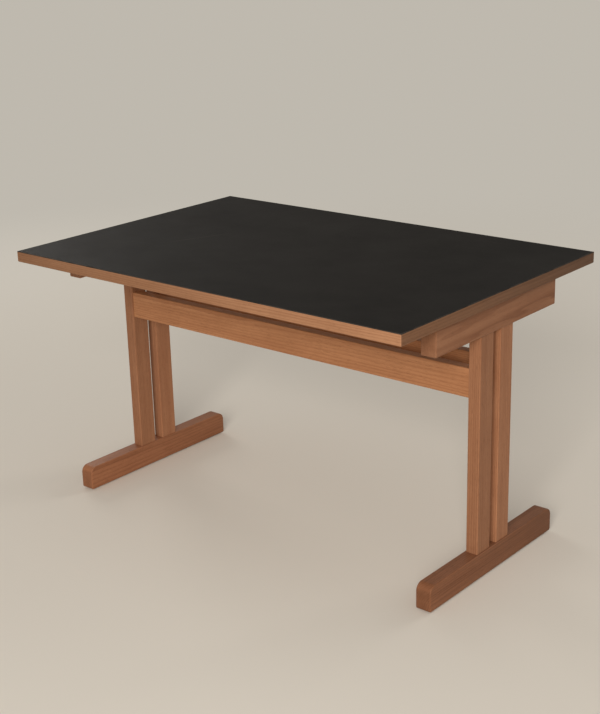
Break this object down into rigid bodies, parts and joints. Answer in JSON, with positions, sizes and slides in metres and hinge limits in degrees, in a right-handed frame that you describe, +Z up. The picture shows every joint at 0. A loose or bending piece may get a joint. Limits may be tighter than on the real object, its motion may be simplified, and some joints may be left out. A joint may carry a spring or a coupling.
{
  "type": "writing desk",
  "caption": "Writing desk with a flat black top edged in wood, carried on wooden end frames with long feet and slender uprights, which rails join below the top.",
  "frame": {"origin": "on the floor under the middle of the desk", "axes": "+X along the length of the desk to the sitter's right, +Y away from the sitter to the back edge, +Z up"},
  "size_m": [1.2, 0.8, 0.7],
  "materials": {
    "black_linoleum": "matt",
    "core_board": "raw board",
    "backing_sheet": "matt",
    "edge_wood": "satin",
    "frame_wood": "satin",
    "dowel_wood": "raw",
    "screw_steel": "zinc plated",
    "glide_plastic": "matt"
  },
  "bodies": {
    "root": {"top_linoleum": "black_linoleum", "top_core": "core_board", "top_backing": "backing_sheet", "lipping_back": "edge_wood", "lipping_left": "edge_wood", "lipping_front": "edge_wood", "lipping_right": "edge_wood", "left_foot": "frame_wood", "left_bearer": "frame_wood", "left_front_upright": "frame_wood", "left_rear_upright": "frame_wood", "left_rail_dowels": "dowel_wood", "left_top_screws": "screw_steel", "left_top_washers": "screw_steel", "left_glides": "glide_plastic", "right_foot": "frame_wood", "right_bearer": "frame_wood", "right_front_upright": "frame_wood", "right_rear_upright": "frame_wood", "right_rail_dowels": "dowel_wood", "right_top_screws": "screw_steel", "right_top_washers": "screw_steel", "right_glides": "glide_plastic", "front_rail": "frame_wood", "rear_rail": "frame_wood"}
  },
  "joints": []
}
